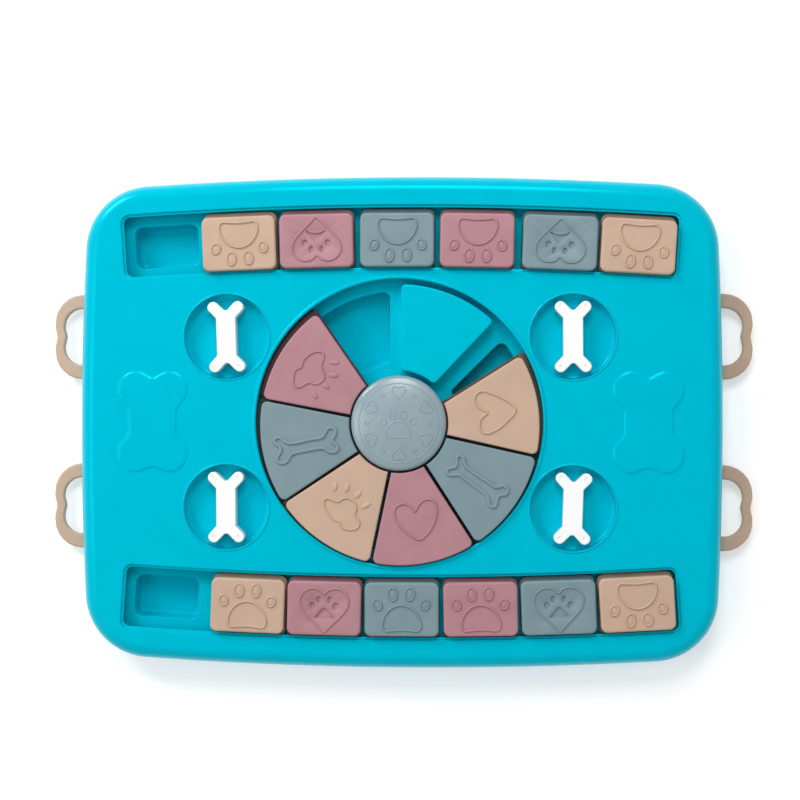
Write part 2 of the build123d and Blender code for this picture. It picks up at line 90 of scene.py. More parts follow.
def bowed(off=0.0):
    cx, cy = CORNER
    ly, sx = HY - LONG_R, HX - SIDE_R
    a_s, a_l = atan2(cy, cx - sx), atan2(cy - ly, cx)
    p = []
    p += arc(sx, 0, SIDE_R + off, -a_s, a_s, 40)
    p += arc(cx, cy, CORNER_R + off, a_s, a_l, 28)
    p += arc(0, ly, LONG_R + off, a_l, pi - a_l, 56)
    p += arc(-cx, cy, CORNER_R + off, pi - a_l, pi - a_s, 28)
    p += arc(-sx, 0, SIDE_R + off, pi - a_s, pi + a_s, 40)
    p += arc(-cx, -cy, CORNER_R + off, pi + a_s, pi + a_l, 28)
    p += arc(0, -ly, LONG_R + off, pi + a_l, 2 * pi - a_l, 56)
    p += arc(cx, -cy, CORNER_R + off, 2 * pi - a_l, 2 * pi - a_s, 28)
    return p


def rrect(w, h, r, n=7, sx=1, sy=1):
    x, y = w / 2 - r, h / 2 - r
    p = []

    def side(a, b, k):
        return [(a[0] + (b[0] - a[0]) * i / k, a[1] + (b[1] - a[1]) * i / k) for i in range(1, k)]

    c = [(x, y, 0), (-x, y, pi / 2), (-x, -y, pi), (x, -y, 3 * pi / 2)]
    for i, (cx, cy, a) in enumerate(c):
        q = arc(cx, cy, r, a, a + pi / 2, n) + [(cx + r * cos(a + pi / 2), cy + r * sin(a + pi / 2))]
        p += q
        nx, ny, na = c[(i + 1) % 4]
        s = (nx + r * cos(na), ny + r * sin(na))
        p += side(q[-1], s, sx if i in (0, 2) else sy)
    return p


def row_band(half_l, half_w, r, sgn=1):
    p = []
    for s, t in rrect(2 * half_l, 2 * half_w, r, 7, 48, 2):
        a = s / ROW_R
        p.append(((ROW_R + t) * sin(a), ROW_Y - ROW_R + (ROW_R + t) * cos(a)))
    return p if sgn > 0 else [(x, -y) for x, y in reversed(p)]


def row_place(x):
    return ROW_Y - ROW_R + sqrt(ROW_R ** 2 - x * x), -asin(x / ROW_R)


def circle(r, x=0.0, y=0.0, n=96):
    return arc(x, y, r, 0, 2 * pi, n)


def wedge(r0, r1, lo, hi, lo_in, hi_in, ro, ri, n=40):
    """Ring sector between two angles; each side stands inwards of its radius; corners rounded."""
    lo, hi = radians(lo), radians(hi)

    def corner(rc, side, d, r):
        # centre of a corner arc, and the foot of its tangent on the side
        a = asin((d + r) / rc)
        return (lo + a) if side < 0 else (hi - a)

    p = []
    a = corner(r1 - ro, -1, lo_in, ro)
    c = ((r1 - ro) * cos(a), (r1 - ro) * sin(a))
    p += arc(c[0], c[1], ro, lo - pi / 2, a, 7)
    b = corner(r1 - ro, 1, hi_in, ro)
    p += arc(0, 0, r1, a, b, n)
    c = ((r1 - ro) * cos(b), (r1 - ro) * sin(b))
    p += arc(c[0], c[1], ro, b, hi + pi / 2, 7) + [(c[0] + ro * cos(hi + pi / 2), c[1] + ro * sin(hi + pi / 2))]
    b = corner(r0 + ri, 1, hi_in, ri)
    c = ((r0 + ri) * cos(b), (r0 + ri) * sin(b))
    p += arc(c[0], c[1], ri, hi + pi / 2, b + pi, 5)
    a = corner(r0 + ri, -1, lo_in, ri)
    m = max(6, n // 2)
    p += [(r0 * cos(b + (a - b) * i / m), r0 * sin(b + (a - b) * i / m)) for i in range(m)]
    c = ((r0 + ri) * cos(a), (r0 + ri) * sin(a))
    p += arc(c[0], c[1], ri, a + pi, lo + 3 * pi / 2, 5) + [(c[0] + ri * cos(lo - pi / 2), c[1] + ri * sin(lo - pi / 2))]
    return p


def clear_of(p, cx, cy, r):
    """Splits an outline's long sides, a hair bowed, and keeps it outside a circle."""
    q = []
    for i, (x, y) in enumerate(p):
        u, v = p[(i + 1) % len(p)]
        k = 36 if hypot(u - x, v - y) > 20 else 1
        e = hypot(u - x, v - y)
        for j in range(k):
            t = j / k
            b = 0.08 * t * (1 - t) / e
            q.append((x + (u - x) * t + b * (v - y), y + (v - y) * t - b * (u - x)))
    out = []
    for x, y in q:
        d = hypot(x - cx, y - cy)
        out.append((x, y) if d >= r else (cx + (x - cx) * r / d, cy + (y - cy) * r / d))
    return out


def rpoly(vs, off=0.0, n=6):
    """Polygon with a radius at each corner, moved outwards by off."""
    m, out = len(vs), []
    nrm = []
    for i in range(m):
        dx, dy = vs[(i + 1) % m][0] - vs[i][0], vs[(i + 1) % m][1] - vs[i][1]
        k = hypot(dx, dy)
        nrm.append((dy / k, -dx / k))
    for i in range(m):
        (ax, ay), (bx, by) = nrm[i - 1], nrm[i]
        x, y, r = vs[i]
        det = ax * by - ay * bx
        if abs(det) < 1e-6:
            out += [(x + ax * off, y + ay * off)] * 1
            continue
        a, b = ax * x + ay * y + off, bx * x + by * y + off
        q = ((a * by - b * ay) / det, (b * ax - a * bx) / det)
        s = 1 if det > 0 else -1
        rr = max(r + s * off, 0.05)
        ux, uy = ax + bx, ay + by
        k = hypot(ux, uy)
        half = acos(max(-1, min(1, ax * bx + ay * by))) / 2
        cx, cy = q[0] - s * rr / cos(half) * ux / k, q[1] - s * rr / cos(half) * uy / k
        a0, a1 = atan2(s * ay, s * ax), atan2(s * by, s * bx)
        d = (a1 - a0 + pi) % (2 * pi) - pi
        out += [(cx + rr * cos(a0 + d * j / n), cy + rr * sin(a0 + d * j / n)) for j in range(n + 1)]
    return out


def resample(p, n):
    a = np.array(p + [p[0]], float)
    s = np.concatenate([[0], np.cumsum(np.hypot(*np.diff(a, axis=0).T))])
    t = np.linspace(0, s[-1], n, endpoint=False)
    return list(zip(np.interp(t, s, a[:, 0]), np.interp(t, s, a[:, 1])))


def spline(p, n=96):
    """Closed smooth curve through the points."""
    a = [Vector(v) for v in p]
    m, out = len(a), []
    for i in range(m):
        p0, p1, p2, p3 = a[i - 1], a[i], a[(i + 1) % m], a[(i + 2) % m]
        t0 = 0.0
        t1 = t0 + max((p1 - p0).length, 1e-6) ** 0.5
        t2 = t1 + max((p2 - p1).length, 1e-6) ** 0.5
        t3 = t2 + max((p3 - p2).length, 1e-6) ** 0.5
        for j in range(10):
            t = t1 + (t2 - t1) * j / 10
            A1 = p0 * ((t1 - t) / (t1 - t0)) + p1 * ((t - t0) / (t1 - t0))
            A2 = p1 * ((t2 - t) / (t2 - t1)) + p2 * ((t - t1) / (t2 - t1))
            A3 = p2 * ((t3 - t) / (t3 - t2)) + p3 * ((t - t2) / (t3 - t2))
            B1 = A1 * ((t2 - t) / (t2 - t0)) + A2 * ((t - t0) / (t2 - t0))
            B2 = A2 * ((t3 - t) / (t3 - t1)) + A3 * ((t - t1) / (t3 - t1))
            C = B1 * ((t2 - t) / (t2 - t1)) + B2 * ((t - t1) / (t2 - t1))
            out.append((C.x, C.y))
    out = resample(out, n)
    area = sum(out[i - 1][0] * out[i][1] - out[i][0] * out[i - 1][1] for i in range(n))
    return out if area > 0 else out[::-1]


def ellipse(cx, cy, rx, ry, tilt=0.0, n=36):
    c, s = cos(radians(tilt)), sin(radians(tilt))
    return [(cx + rx * cos(t) * c - ry * sin(t) * s, cy + rx * cos(t) * s + ry * sin(t) * c)
            for t in (2 * pi * i / n for i in range(n))]


def grow(p, d):
    """Moves a dense closed curve outwards by d along its normals."""
    n = len(p)
    out = []
    for i in range(n):
        dx, dy = p[(i + 1) % n][0] - p[i - 1][0], p[(i + 1) % n][1] - p[i - 1][1]
        k = max(hypot(dx, dy), 1e-9)
        out.append((p[i][0] + dy / k * d, p[i][1] - dx / k * d))
    return out


def place(p, x=0.0, y=0.0, turn=0.0, k=1.0):
    c, s = cos(turn), sin(turn)
    return [(x + k * (a * c - b * s), y + k * (a * s + b * c)) for a, b in p]


# ---------------------------------------------------------------- mesh builder
class Mesh:
    def __init__(self):
        self.v, self.f = [], []

    def ring(self, p, z):
        i = len(self.v)
        for x, y in p:
            self.v.append((x, y, z(x, y) if callable(z) else z))
        return list(range(i, i + len(p)))

    def band(self, a, b):
        n = len(a)
        for i in range(n):
            j = (i + 1) % n
            self.f.append((a[i], a[j], b[j], b[i]))

    def loft(self, rings):
        """rings: a list of (outline, z). Joins each to the next and returns the first and last."""
        r = [self.ring(p, z) for p, z in rings]
        for a, b in zip(r, r[1:]):
            self.band(a, b)
        return r[0], r[-1]

    def fill(self, outer, holes=()):
        """Flat face between a ring and its holes."""
        idx, edges, loops = [], [], []
        for r in [outer] + list(holes):
            s = len(idx)
            idx += r
            edges += [(s + i, s + (i + 1) % len(r)) for i in range(len(r))]
            loops.append(np.array([self.v[i][:2] for i in r]))
        co = [Vector(self.v[i][:2]) for i in idx]
        vs, _, fs, ov, _, _ = delaunay_2d_cdt(co, edges, [], 0, 1e-6)
        xy = np.array([(v.x, v.y) for v in vs])
        tri = np.array([list(t) for t in fs])
        cen = xy[tri].mean(axis=1)
        inside = np.zeros(len(tri), bool)
        for lp in loops:
            a, b = lp, np.roll(lp, -1, axis=0)
            y = cen[:, 1][:, None]
            x = cen[:, 0][:, None]
            cr = (a[:, 1] > y) != (b[:, 1] > y)
            with np.errstate(divide="ignore", invalid="ignore"):
                xi = a[:, 0] + (y - a[:, 1]) / (b[:, 1] - a[:, 1]) * (b[:, 0] - a[:, 0])
            inside ^= ((cr & (x < xi)).sum(axis=1) % 2).astype(bool)
        for t, ok in zip(tri, inside):
            if ok and all(ov[k] for k in t):
                q = [idx[ov[k][0]] for k in t]
                if len(set(q)) == 3:
                    self.f.append(tuple(q))
        if len(vs) != len(co):
            print("fill: outlines touch,", len(vs) - len(co), "points")

    def ridge(self, p, w, h, zf, flat=False):
        prof = [(-1, -0.1), (-0.82, 0.38), (-0.5, 0.84), (0, 1.0), (0.5, 0.84), (0.82, 0.38), (1, -0.1)]
        if flat:
            prof = [(-1, -0.1), (-0.9, 0.5), (-0.74, 0.88), (-0.5, 1.0), (0.5, 1.0), (0.74, 0.88), (0.9, 0.5), (1, -0.1)]
        rings = []
        for k, t in prof:
            q = grow(p, k * w / 2)
            rings.append(self.ring(q, (lambda x, y, t=t: (zf(x, y) if callable(zf) else zf) + h * t)))
        for a, b in zip(rings, rings[1:] + rings[:1]):
            self.band(a, b)

    def mound(self, cx, cy, rx, ry, tilt, h, z0):
        rings = [self.ring(ellipse(cx, cy, rx * k, ry * k, tilt), z0 + h * t) for k, t in
                 [(1.0, -0.1), (0.97, 0.22), (0.86, 0.55), (0.66, 0.82), (0.4, 0.96), (0.12, 1.0)]]
        for a, b in zip(rings, rings[1:]):
            self.band(a, b)
        self.fill(rings[0])
        self.fill(rings[-1])

    def build(self, name, mat, body=None, nodes=(), sharp=38.0, foot=None):
        me = bpy.data.meshes.new(name)
        me.from_pydata([(x * MM, y * MM, z * MM) for x, y, z in self.v], [], self.f)
        bm = bmesh.new()
        bm.from_mesh(me)
        bmesh.ops.recalc_face_normals(bm, faces=bm.faces[:])
        bm.to_mesh(me)
        bm.free()
        me.materials.append(mat)
        # faces below the given height get the second material: painted shade on the slider feet and necks
        if foot:
            me.materials.append(foot[0])
            for f in me.polygons:
                if f.center.z < foot[1] * MM:
                    f.material_index = 1
        me.polygons.foreach_set("use_smooth", [True] * len(me.polygons))
        if foot:
            for f in me.polygons:
                if f.normal.z > 0.99999:
                    f.use_smooth = False
        me.set_sharp_from_angle(angle=radians(sharp))
        ob = bpy.data.objects.new(name, me)
        bpy.context.scene.collection.objects.link(ob)
        if body:
            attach(ob, body)
        if nodes:
            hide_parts(*nodes)
        return ob


def quarter(r, off0, z0, n=6, down=False):
    """Profile of a rounded top edge: from the side (off0, z0) in to the flat."""
    return [(off0 - r * (1 - cos(a)), z0 + r * sin(a)) for a in (pi / 2 * i / n for i in range(n + 1))]


# ---------------------------------------------------------------- materials
def shader(name, color, rough, spec=0.5, coat=0.0, coat_rough=0.1, metallic=0.0, tint=(1, 1, 1)):
    m = bpy.data.materials.new(name)
    m.use_nodes = True
    nt = m.node_tree
    b = nt.nodes["Principled BSDF"]
    b.inputs["Base Color"].default_value = (*color, 1)
    b.inputs["Roughness"].default_value = rough
    b.inputs["Specular IOR Level"].default_value = spec
    b.inputs["Coat Weight"].default_value = coat
    b.inputs["Coat Roughness"].default_value = coat_rough
    b.inputs["Metallic"].default_value = metallic
    b.inputs["Specular Tint"].default_value = (*tint, 1)
    return m, nt, b


def noise(nt, scale, detail=3.0, rough=0.55, vec=None):
    if vec is None:
        tc = nt.nodes.new("ShaderNodeTexCoord")
        vec = tc.outputs["Object"]
    t = nt.nodes.new("ShaderNodeTexNoise")
    t.inputs["Scale"].default_value = scale
    t.inputs["Detail"].default_value = detail
    t.inputs["Roughness"].default_value = rough
    nt.links.new(vec, t.inputs["Vector"])
    return t


def remap(nt, src, lo, hi, a=0.35, b=0.65):
    r = nt.nodes.new("ShaderNodeMapRange")
    r.inputs["From Min"].default_value = a
    r.inputs["From Max"].default_value = b
    r.inputs["To Min"].default_value = lo
    r.inputs["To Max"].default_value = hi
    nt.links.new(src, r.inputs["Value"])
    return r.outputs["Result"]


def plastic(name, color, rough=0.4, spec=0.5, coat=0.0, vary=0.05, tint=0.04, grain=0.02, grain_scale=900.0, wave=0.0, coat_rough=0.12, gloss=(1, 1, 1)):
    m, nt, b = shader(name, color, rough, spec, coat, coat_rough, 0.0, gloss)
    n1 = noise(nt, 28.0, 3.0)
    nt.links.new(remap(nt, n1.outputs["Fac"], rough - vary, rough + vary), b.inputs["Roughness"])
    n2 = noise(nt, 60.0, 4.0)
    mix = nt.nodes.new("ShaderNodeMix")
    mix.data_type = "RGBA"
    mix.inputs[6].default_value = (*[c * (1 - tint) for c in color], 1)
    mix.inputs[7].default_value = (*[min(1, c * (1 + tint)) for c in color], 1)
    nt.links.new(remap(nt, n2.outputs["Fac"], 0, 1), mix.inputs[0])
    nt.links.new(mix.outputs[2], b.inputs["Base Color"])
    n3 = noise(nt, grain_scale, 2.0)
    bump = nt.nodes.new("ShaderNodeBump")
    bump.inputs["Strength"].default_value = grain
    bump.inputs["Distance"].default_value = 0.0005
    nt.links.new(n3.outputs["Fac"], bump.inputs["Height"])
    last = bump
    if wave:
        n4 = noise(nt, 9.0, 1.5)
        b2 = nt.nodes.new("ShaderNodeBump")
        b2.inputs["Strength"].default_value = wave
        b2.inputs["Distance"].default_value = 0.003
        nt.links.new(n4.outputs["Fac"], b2.inputs["Height"])
        nt.links.new(bump.outputs["Normal"], b2.inputs["Normal"])
        last = b2
    nt.links.new(last.outputs["Normal"], b.inputs["Normal"])
    return m


TEAL = (0.0, 0.45, 0.60)
TAN = (0.52, 0.362, 0.265)
PINK = (0.405, 0.198, 0.228)
GREY = (0.18, 0.265, 0.293)
CYAN = (0.0, 0.9, 1.0)
mat_shell = plastic("teal_moulded", TEAL, 0.19, 0.55, 0.0, 0.04, 0.02, 0.015, 700.0, 0.02, 0.12, CYAN)
mat_tray = plastic("teal_pocket", TEAL, 0.21, 0.55, 0.0, 0.04, 0.02, 0.015, 700.0, 0.0, 0.12, CYAN)
mats = {
    "tan_block": plastic("tan_satin", TAN, 0.5, 0.4, 0.0, 0.06, 0.035, 0.12, 1500.0),
    "pink_block": plastic("pink_satin", PINK, 0.5, 0.4, 0.0, 0.06, 0.05, 0.12, 1500.0),
    "bluegrey_block": plastic("bluegrey_satin", GREY, 0.48, 0.4, 0.0, 0.06, 0.04, 0.12, 1500.0),
    "white_gloss": plastic("white_gloss", (0.92, 0.92, 0.92), 0.22, 0.5, 0.4, 0.04, 0.01, 0.01, 600.0),
    "hub_satin": plastic("hub_satin", (0.25, 0.34, 0.37), 0.24, 0.5, 0.15, 0.06, 0.05, 0.04, 1200.0, 0.0, 0.25),
    "bellows_rubber": plastic("bellows_rubber", (0.75, 0.73, 0.68), 0.6, 0.3, 0.0, 0.05, 0.04, 0.1, 400.0),
    "foot_rubber": plastic("foot_rubber", (0.02, 0.02, 0.02), 0.75, 0.3, 0.0, 0.08, 0.1, 0.2, 1500.0),
}
mats["teal_shell"] = mat_shell
# feet and necks of the sliders: painted shade, a darker copy of each cap colour standing in for the shade down in the
# slots (half as bright on the blocks, near-black painted shadow on the ring wedges)
feet = (("tan_block", "tan", TAN), ("pink_block", "pink", PINK), ("bluegrey_block", "bluegrey", GREY))
painted_shade_feet = {k: plastic(n + "_foot", tuple(0.5 * v for v in c), 0.6, 0.2, 0.0, 0.06, 0.05, 0.05, 1500.0) for k, n, c in feet}
# ring wedges' feet and necks: painted shadow, a near-black copy of the wedge colour for the shadowed gap round each
# wedge
painted_shadow_feet = {k: plastic(n + "_ring_foot", tuple(0.22 * v for v in c), 0.65, 0.15, 0.0, 0.06, 0.05, 0.05, 1500.0) for k, n, c in feet}
m_, nt_, b_ = shader("screw_zinc", (0.55, 0.56, 0.57), 0.32, 0.5, metallic=1.0)
n_ = noise(nt_, 400.0, 2.0)
nt_.links.new(remap(nt_, n_.outputs["Fac"], 0.25, 0.42), b_.inputs["Roughness"])
mats["screw_steel"] = m_

# ---------------------------------------------------------------- top shell
m = Mesh()
# skirt from its inner bottom edge, over the rounded top edge, to the flat deck
prof = [(-2.5, 5.0), (-0.5, 5.0), (-0.12, 5.12), (0.0, 5.5), (0.0, 12.0), (0.0, 21.0)]
prof += quarter(9.0, 0.0, 21.0, 12)[1:] + [(-9.7, DECK)]
first, deck_edge = m.loft([(bowed(o), z) for o, z in prof])
inner = [(-2.5, 5.0), (-2.5, 20.4)] + [(a, b) for a, b in quarter(6.5, -2.5, 20.4, 5)[1:]] + [(-9.7, UNDER)]
i0, under_edge = m.loft([(bowed(o), z) for o, z in inner[1:]])
m.band(first, i0)

holes_top, holes_under = [], []
for sgn in (1, -1):
    prof = [(0.9, DECK), (0.45, DECK), (0.2, 29.94), (0.05, 29.8), (0.0, 29.55), (0.0, 28.95), (-0.08, 28.75), (-0.25, 28.7),
            (-1.27, 28.7), (-1.44, 28.62), (-1.5, 28.45), (-1.5, 27.0), (-1.45, UNDER), (2.6, UNDER), (2.6, 20.0), (3.2, 20.0), (3.2, UNDER)]
    a, b = m.loft([(row_band(SLOT_L + o, SLOT_W + o, 5.5 + o, sgn), z) for o, z in prof])
    holes_top.append(a)
    holes_under.append(b)
prof = [(89.35, DECK), (89.2, DECK), (89.0, 30.08), (88.75, 30.28), (88.45, 30.7), (88.0, 30.9), (87.5, 30.9), (87.1, 30.74), (86.8, 30.4),
        (86.65, 29.9), (86.65, 28.0), (86.65, 27.0), (86.7, UNDER), (87.9, UNDER), (87.9, 20.0), (88.5, 20.0), (88.5, UNDER)]
a, b = m.loft([(circle(r, n=180), z) for r, z in prof])
holes_top.append(a)
holes_under.append(b)
for sx in (1, -1):
    for sy in (1, -1):
        prof = [(27.25, DECK), (27.1, DECK), (26.95, 30.07), (26.75, 30.3), (26.5, 30.5), (26.25, 30.55), (26.05, 30.45), (25.9, 30.15), (25.82, 29.7), (25.8, 29.2),
                (25.7, 25.0), (25.6, 24.2), (25.3, 23.5), (24.8, 23.0), (24.1, 22.7), (23.3, 22.6), (22.4, 22.6)]
        a, floor_ring = m.loft([(circle(r, sx * CUP_X, sy * CUP_Y), z) for r, z in prof])
        holes_top.append(a)
        prof = [(5.2, 22.6), (4.6, 22.6), (4.35, 22.5), (4.3, 22.2), (4.3, 18.9), (3.6, 18.9)]
        s0, s1 = m.loft([(circle(r, sx * CUP_X, sy * CUP_Y, 40), z) for r, z in prof])
        m.fill(floor_ring, [s0])
        m.fill(s1)
        u0, u1 = m.loft([(circle(27.8, sx * CUP_X, sy * CUP_Y), UNDER), (circle(27.8, sx * CUP_X, sy * CUP_Y), 20.6)])
        holes_under.append(u0)
        p0, p1 = m.loft([(circle(6.5, sx * CUP_X, sy * CUP_Y, 40), 20.6), (circle(6.5, sx * CUP_X, sy * CUP_Y, 40), 17.4)])
        m.fill(u1, [p0])
        m.fill(p1)
panel_px = [(-35.3, 32), (-34, 39), (-29, 46), (-21.5, 50.3), (-14, 50.6), (-7, 47.6), (0, 44.3), (7, 47.6), (14, 50.6), (21.5, 50.3), (29, 46), (34, 39), (35.3, 32),
            (33.8, 24.5), (29.8, 18.8), (26.2, 14.8), (24.6, 11), (24.3, 0), (24.6, -11), (26.2, -14.8), (29.8, -18.8), (33.8, -24.5), (35.3, -32),
            (34, -39), (29, -46), (21.5, -50.3), (14, -50.6), (7, -47.6), (0, -46.3), (-7, -47.6), (-14, -50.6), (-21.5, -50.3), (-29, -46), (-34, -39), (-35.3, -32),
            (-33.8, -24.5), (-29.8, -18.8), (-26.2, -14.8), (-24.6, -11), (-24.3, 0), (-24.6, 11), (-26.2, 14.8), (-29.8, 18.8), (-33.8, 24.5)]
for sx in (1, -1):
    p = spline([(sx * 149.8 + 0.6026 * x, 0.6026 * y) for x, y in panel_px], 240)
    prof = [(1.1, DECK), (0.7, DECK), (0.35, 30.03), (0.0, 30.12), (-0.4, 30.32), (-0.8, 30.5), (-1.2, 30.58), (-1.6, 30.6), (-2.1, 30.6)]
    a, b = m.loft([(grow(p, o), z) for o, z in prof])
    holes_top.append(a)
    m.fill(b)
m.fill(deck_edge, holes_top)
m.fill(under_edge, holes_under)
shell = m.build("shell", mat_shell, "tray", ["tray_top"])

# ---------------------------------------------------------------- pocket trays of the rows
for sgn, nm in ((1, "rear"), (-1, "front")):
    m = Mesh()
    hl, hw = 171.6, 22.7
    rim = row_band(hl, hw, 5.0, sgn)
    rim = [q for r, q, t in zip(rim[-1:] + rim[:-1], rim, rim[1:] + rim[:1])
           if abs((q[0] - r[0]) * (t[1] - q[1]) - (q[1] - r[1]) * (t[0] - q[0])) > 5e-4 * hypot(q[0] - r[0], q[1] - r[1]) * hypot(t[0] - q[0], t[1] - q[1])]
    lo, hi = m.loft([(rim, 18.0), (rim, 20.0)])
    tops, bots = [], []
    for i in range(7):
        x = (i - 3) * 47.6
        y, t = row_place(x)
        y, t = sgn * y, sgn * t

        def pk(o):
            return place(rrect(39.2 + 2 * o, 25.5 + 2 * o, 5.0 + o, 8), x, y, t)
        prof = [(0.8, 20.0), (0.5, 20.0), (0.22, 19.95), (0.05, 19.8), (0.0, 19.5), (-0.35, 12.0), (-0.5, 10.2), (-0.8, 9.2), (-1.4, 8.45), (-2.2, 8.1), (-3.0, 8.0), (-3.6, 8.0)]
        a, b = m.loft([(pk(o), z) for o, z in prof])
        tops.append(a)
        m.fill(b)
        a, b = m.loft([(pk(2.0), 18.0), (pk(1.8), 8.0), (pk(1.2), 6.6), (pk(0.0), 6.0)])
        bots.append(a)
        m.fill(b)
    m.fill(hi, tops)
    m.fill(lo, bots)
    m.build("pocket_tray_" + nm, mat_tray, "tray", ["row_tray_" + nm])

# ---------------------------------------------------------------- pocket tray of the ring, with its fixed wedge and the hub post
m = Mesh()
lo, hi = m.loft([(circle(88.3, n=160), 18.0), (circle(88.3, n=160), 20.0)])
tops, bots = [], []
for k in range(8):
    if k == 1:
        continue
    hin = 8.7 if k == 0 else 6.0

    def well(o):
        return wedge(36.4 - o, 79.9 + o, 45.0 * k, 45.0 * (k + 1), 6.0 - o, hin - o, 4.0 + o, 2.5 + o)
    prof = [(0.9, 20.0), (0.6, 20.0), (0.28, 19.94), (0.08, 19.78), (0.0, 19.45), (-0.35, 12.0), (-0.5, 9.8), (-0.8, 8.8), (-1.4, 8.2), (-2.0, 8.0), (-2.3, 8.0)]
    a, b = m.loft([(well(o), z) for o, z in prof])
    tops.append(a)
    m.fill(b)
    a, b = m.loft([(well(1.8), 18.0), (well(1.6), 8.0), (well(1.0), 6.6), (well(0.0), 6.0)])
    bots.append(a)
    m.fill(b)


def island(o):
    return wedge(31.0 - o, 83.4 + o, 46.7, 90.0, 0.2 - o, 1.4 - o, 2.6 + o, 2.6 + o)


prof = [(0.5, 20.0), (0.0, 20.3), (0.0, 29.4)] + quarter(1.0, 0.0, 29.4, 6)[1:] + [(-1.6, 30.4)]
a, b = m.loft([(island(o), z) for o, z in prof])
tops.append(a)
m.fill(b)
prof = [(25.9, 20.0), (25.3, 20.2), (25.2, 20.6), (25.2, 26.6), (24.9, UNDER), (19.7, UNDER), (19.4, 26.6), (19.4, 8.0), (18.0, 8.0)]
a, b = m.loft([(circle(r, n=72), z) for r, z in prof])
tops.append(a)
m.fill(b)
a, b = m.loft([(circle(25.2, n=72), 18.0), (circle(25.2, n=72), 6.0)])
bots.append(a)
m.fill(b)
m.fill(hi, tops)
m.fill(lo, bots)
m.build("pocket_tray_ring", mat_tray, "tray", ["wheel_tray"])

# ---------------------------------------------------------------- motifs (mm, upright)
PAD = spline([(-11.7, -8.8), (-11.2, -11.6), (-9.6, -12.9), (-6.1, -12.6), (0.0, -12.2), (6.1, -12.6), (9.4, -12.8), (11.1, -11.5), (11.6, -8.7), (10.8, -5.4),
              (8.9, -2.2), (6.0, 0.6), (3.0, 2.1), (-0.2, 2.7), (-3.6, 2.1), (-6.6, 0.5), (-9.3, -2.3), (-11.0, -5.5)], 110)
TOES = [(-14.6, 2.9, 2.75, 3.35, 14), (-5.5, 9.15, 2.9, 4.05, 4), (4.8, 9.35, 2.9, 4.1, -6), (14.0, 3.0, 2.75, 3.3, -22)]
HEART = spline([(0, 8.75), (-2.4, 10.9), (-6.2, 12.0), (-9.9, 11.4), (-12.9, 9.2), (-14.6, 5.8), (-14.4, 2.2), (-12.6, -1.5), (-9.2, -5.3), (-5.5, -9.0), (-2.3, -12.2), (0, -14.1),
                (2.3, -12.2), (5.5, -9.0), (9.2, -5.3), (12.6, -1.5), (14.4, 2.2), (14.6, 5.8), (12.9, 9.2), (9.9, 11.4), (6.2, 12.0), (2.4, 10.9)], 140)
HOLES = [(-6.9, 1.5, 1.75, 2.15, 18), (-3.2, 5.15, 1.35, 2.05, 6), (3.3, 5.15, 1.35, 2.05, -6), (7.0, 1.45, 1.75, 2.15, -18)]
HPAD = spline([(0.3, 0.55), (2.2, -0.7), (4.2, -3.2), (6.3, -5.6), (5.9, -6.1), (3.4, -5.0), (0.3, -4.5), (-2.9, -5.0), (-5.4, -6.1), (-5.8, -5.6), (-3.7, -3.2), (-1.6, -0.7)], 72)


def dot(to, cx, cy, rx, ry, tilt):
    """Centre, radii and tilt of an oval carried to its place."""
    (ax, ay), (bx, by) = to([(cx, cy), (cx + cos(radians(tilt)), cy + sin(radians(tilt)))])
    return ax, ay, rx, ry, atan2(by - ay, bx - ax) * 180 / pi


def motif_rows(m, kind, to, z):
    """Adds a raised or sunk motif on a block's top at z and returns the rings left open in that face."""
    rings = []
    if kind == "paw":
        m.ridge(to(PAD), 1.5, 1.05, z)
        for cx, cy, rx, ry, t in TOES:
            m.ridge(to(ellipse(cx, cy, rx - 0.25, ry - 0.25, t)), 1.45, 1.05, z)
            m.mound(*dot(to, cx, cy, rx - 0.6, ry - 0.6, t), 0.55, z)
    else:
        m.ridge(to(HEART), 1.35, 0.9, z)
        cuts = [ellipse(*h) for h in HOLES] + [HPAD]
        for c in cuts:
            gx, gy = sum(q[0] for q in c) / len(c), sum(q[1] for q in c) / len(c)
            a, b = m.loft([(to([(gx + k * (u - gx), gy + k * (v - gy)) for u, v in c]), z - d)
                           for k, d in ((1.05, 0.0), (1.0, 0.06), (0.97, 0.3), (0.94, 0.9), (0.9, 1.05), (0.8, 1.1))])
            m.fill(b)
            rings.append(a)
    return rings


def block(name, node, x, sgn, slot, kind, flip):
    y, t = row_place(x)
    y, t = sgn * y - 1.3, sgn * t
    off = -0.62 * sgn
    m = Mesh()

    def at(p, dy=0.0):
        return place([(u, v + dy) for u, v in p], x, y, t)
    fw, fh, cw, ch, nw, nh = 45.4, 38.0, 44.6, 32.4, 42.8, 30.6
    R = [(rrect(fw - 4, fh - 4, 3.0), 24.4), (rrect(fw - 4, fh - 4, 3.0), 20.3), (rrect(fw, fh, 5.0), 20.3), (rrect(fw, fh, 5.0), 25.8),
         (rrect(fw - 0.3, fh - 0.3, 4.85), 26.15), (rrect(fw - 0.9, fh - 0.9, 4.55), 26.36), (rrect(fw - 1.5, fh - 1.5, 4.2), 26.4)]
    e = 1.25
    C = [(rrect(nw + 0.8, nh + 0.8, 3.6), 26.4), (rrect(nw + 0.2, nh + 0.2, 3.3), 26.55), (rrect(nw, nh, 3.2), 26.9), (rrect(nw, nh, 3.2), 28.9), (rrect(cw - 0.4, ch - 0.4, 3.8), 28.9),
         (rrect(cw, ch, 4.0), 29.1)]
    C += [(rrect(cw + 2 * o, ch + 2 * o, 4.0 + o), z) for o, z in [(0, 31.0)] + quarter(e, 0.0, 34.6 - e, 6) + [(-e - 0.5, 34.6)]]
    a, b = m.loft([(at(p), z) for p, z in R] + [(at(p, off), z) for p, z in C])
    m.fill(a)

    def to(p):
        return at([(-u, -v) for u, v in p] if flip else p, off)
    holes = motif_rows(m, kind, to, 34.6)
    m.fill(b, holes)
    # feet and necks below 28.8 mm take the painted shade material
    return m.build(name, mats[slot], node, [node], 50, (painted_shade_feet[slot], 28.8))


